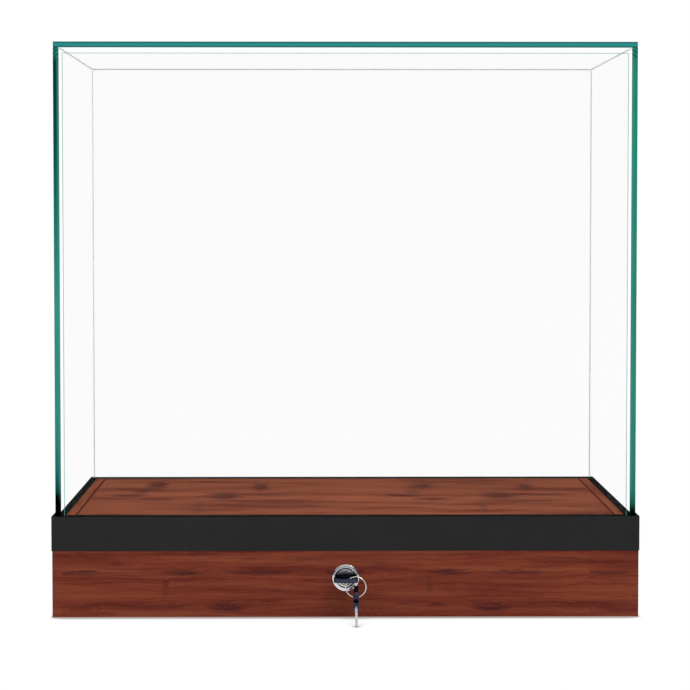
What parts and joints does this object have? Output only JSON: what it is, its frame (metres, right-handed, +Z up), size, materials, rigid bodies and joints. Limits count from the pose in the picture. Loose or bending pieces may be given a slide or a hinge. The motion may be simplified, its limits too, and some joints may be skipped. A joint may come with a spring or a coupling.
{
  "type": "countertop display case",
  "caption": "Glass countertop display case on a wood-grain base with a black band, a pull-out glass front and deck, and a key lock.",
  "frame": {"origin": "centre of the base's flat underside, on the counter", "axes": "+Z up, the front with the lock faces -Y, +X to the right seen from the front"},
  "size_m": [0.61, 0.4701, 0.596],
  "materials": {
    "cherry_laminate": "satin cherry wood-grain laminate on board",
    "deck_laminate": "satin cherry wood-grain laminate on board",
    "plain_board": "plain board, not seen in use",
    "black_aluminium": "satin black aluminium extrusion",
    "black_vinyl": "matt black vinyl glazing channel",
    "black_rubber": "matt black rubber",
    "glass": "clear float glass with polished green edges",
    "clear_adhesive": "clear light-cured adhesive",
    "zinc_steel": "bright zinc-plated steel",
    "bearing_steel": "polished steel balls in a sheet-steel cage",
    "chrome": "polished chrome plate",
    "plug_metal": "satin nickel-plated zinc",
    "nickel_silver": "nickel-plated brass",
    "black_plastic": "smooth black plastic"
  },
  "bodies": {
    "cabinet": {"base_right_panel": "cherry_laminate", "base_left_panel": "cherry_laminate", "base_back_panel": "cherry_laminate", "base_bottom_panel": "plain_board", "keeper_bracket": "zinc_steel", "keeper_screws": "zinc_steel", "front_buffers": "black_rubber", "rail_right": "black_aluminium", "rail_left": "black_aluminium", "rail_back": "black_aluminium", "rail_screws": "zinc_steel", "deck_strip_right": "deck_laminate", "deck_strip_left": "deck_laminate", "gasket_right": "black_vinyl", "gasket_left": "black_vinyl", "gasket_back": "black_vinyl", "glass_right": "glass", "glass_left": "glass", "glass_back": "glass", "glass_top": "glass", "glass_bond_right": "clear_adhesive", "glass_bond_left": "clear_adhesive", "glass_bond_back": "clear_adhesive", "slide_outer_right": "zinc_steel", "slide_outer_left": "zinc_steel", "slide_case_screws": "zinc_steel"},
    "pull_out": {"deck_panel": "deck_laminate", "front_panel": "cherry_laminate", "front_rail": "black_aluminium", "front_rail_screws": "zinc_steel", "gasket_front": "black_vinyl", "glass_front": "glass", "drawer_side_right": "plain_board", "drawer_side_left": "plain_board", "drawer_back_board": "plain_board", "slide_inner_right": "zinc_steel", "slide_inner_left": "zinc_steel", "front_bracket_right": "zinc_steel", "front_bracket_left": "zinc_steel", "drawer_screws": "zinc_steel", "lock_housing": "chrome", "lock_nut": "zinc_steel"},
    "middle_right": {"slide_middle_right": "zinc_steel"},
    "middle_left": {"slide_middle_left": "zinc_steel"},
    "cage_outer_right": {"ball_cage_outer_right": "bearing_steel"},
    "cage_outer_left": {"ball_cage_outer_left": "bearing_steel"},
    "cage_inner_right": {"ball_cage_inner_right": "bearing_steel"},
    "cage_inner_left": {"ball_cage_inner_left": "bearing_steel"},
    "lock_core": {"lock_plug": "plug_metal", "lock_cam": "zinc_steel", "lock_cam_screw": "zinc_steel"},
    "key": {"key_head": "black_plastic", "key_blade": "nickel_silver"},
    "ring": {"key_ring": "chrome"},
    "spare_key": {"spare_key_head": "black_plastic", "spare_key_blade": "nickel_silver"}
  },
  "joints": [
    {"name": "pull_out_slide", "type": "slide", "parent": "cabinet", "child": "pull_out", "axis": [0, -1, 0], "range_m": [0, 0.34]},
    {"name": "middle_right_slide", "type": "slide", "parent": "cabinet", "child": "middle_right", "axis": [0, -1, 0], "range_m": [0, 0.17]},
    {"name": "middle_left_slide", "type": "slide", "parent": "cabinet", "child": "middle_left", "axis": [0, -1, 0], "range_m": [0, 0.17]},
    {"name": "cage_outer_right_slide", "type": "slide", "parent": "cabinet", "child": "cage_outer_right", "axis": [0, -1, 0], "range_m": [0, 0.085]},
    {"name": "cage_outer_left_slide", "type": "slide", "parent": "cabinet", "child": "cage_outer_left", "axis": [0, -1, 0], "range_m": [0, 0.085]},
    {"name": "cage_inner_right_slide", "type": "slide", "parent": "cabinet", "child": "cage_inner_right", "axis": [0, -1, 0], "range_m": [0, 0.255]},
    {"name": "cage_inner_left_slide", "type": "slide", "parent": "cabinet", "child": "cage_inner_left", "axis": [0, -1, 0], "range_m": [0, 0.255]},
    {"name": "lock_turn", "type": "hinge", "parent": "pull_out", "child": "lock_core", "pos_m": [0, -0.20415, 0.042], "axis": [0, 1, 0], "range_deg": [0, 90]},
    {"name": "key_withdraw", "type": "slide", "parent": "lock_core", "child": "key", "axis": [0, -1, 0], "range_m": [0, 0.032]},
    {"name": "ring_swing", "type": "hinge", "parent": "key", "child": "ring", "pos_m": [0.0103, -0.2222, 0.04525], "axis": [1, 0, 0], "range_deg": [-14, 14]},
    {"name": "spare_key_swing", "type": "hinge", "parent": "ring", "child": "spare_key", "pos_m": [0.0103, -0.2222, 0.02465], "axis": [1, 0, 0], "range_deg": [-10, 70]}
  ],
  "couplings": [
    {"joint": "middle_right_slide", "follows": "pull_out_slide", "ratio": 0.5},
    {"joint": "middle_left_slide", "follows": "pull_out_slide", "ratio": 0.5},
    {"joint": "cage_outer_right_slide", "follows": "pull_out_slide", "ratio": 0.25},
    {"joint": "cage_outer_left_slide", "follows": "pull_out_slide", "ratio": 0.25},
    {"joint": "cage_inner_right_slide", "follows": "pull_out_slide", "ratio": 0.75},
    {"joint": "cage_inner_left_slide", "follows": "pull_out_slide", "ratio": 0.75}
  ]
}
